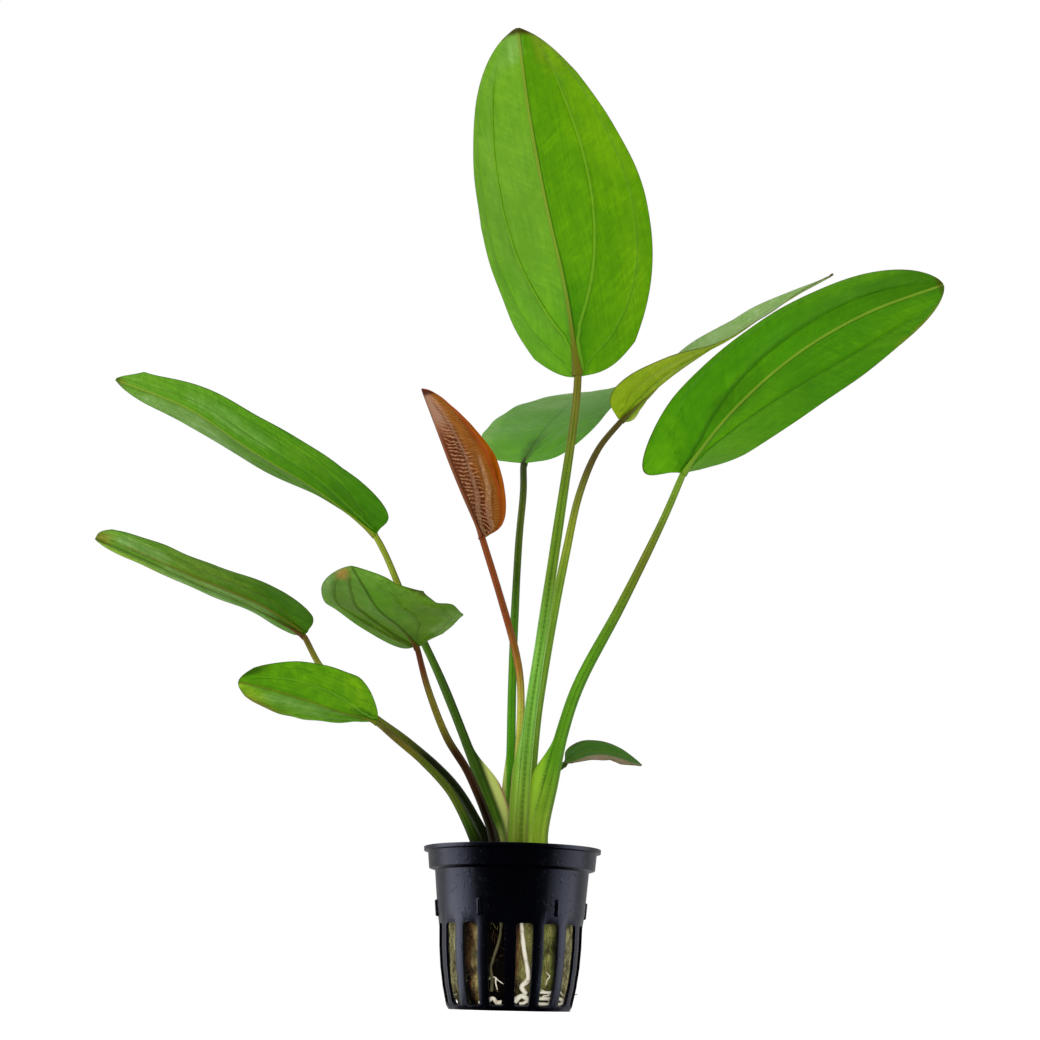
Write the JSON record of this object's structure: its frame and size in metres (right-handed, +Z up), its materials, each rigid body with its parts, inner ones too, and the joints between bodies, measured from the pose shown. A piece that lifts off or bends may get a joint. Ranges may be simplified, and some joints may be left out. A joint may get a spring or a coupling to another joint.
{
  "type": "potted echinodorus",
  "caption": "Broad-leaved rosette water plant with long ribbed stems, rooted in a rock wool plug in a slotted black net pot; stands on the pot's flat base.",
  "frame": {"origin": "centre of the pot's flat base, on the surface it stands on", "axes": "+Z up along the pot's axis, -Y towards the front view, +X to the right of the front view"},
  "size_m": [0.2813, 0.1642, 0.3147],
  "materials": {
    "net_pot": "black moulded plastic with a soft blue-grey sheen",
    "rock_wool": "damp khaki mineral fibre with brown stains",
    "crown": "short stacked sheath bases, green turning brown",
    "root": "cream, slightly translucent",
    "stem": "olive green, ribbed, brown and maroon in places",
    "stem_red": "red-brown turning yellow-green",
    "leaf": "satin green with raised parallel veins",
    "leaf_red": "satin red-brown with pinkish streaks"
  },
  "bodies": {
    "root": {"pot": "net_pot", "rock_wool": "rock_wool", "crown": "crown", "root_long": "root", "root_left": "root", "root_curl": "root", "root_folded": "root", "root_short": "root", "stem_tall": "stem", "stem_right": "stem", "stem_right_back": "stem", "stem_back": "stem", "stem_young_red": "stem_red", "stem_upper_left": "stem", "stem_middle_left": "stem", "stem_front_left": "stem", "stem_lower_left": "stem", "stem_small_right": "stem", "leaf_tall": "leaf", "leaf_right": "leaf", "leaf_right_back": "leaf", "leaf_back": "leaf", "leaf_young_red": "leaf_red", "leaf_upper_left": "leaf", "leaf_middle_left": "leaf", "leaf_front_left": "leaf", "leaf_lower_left": "leaf", "leaf_small_right": "leaf"}
  },
  "joints": []
}
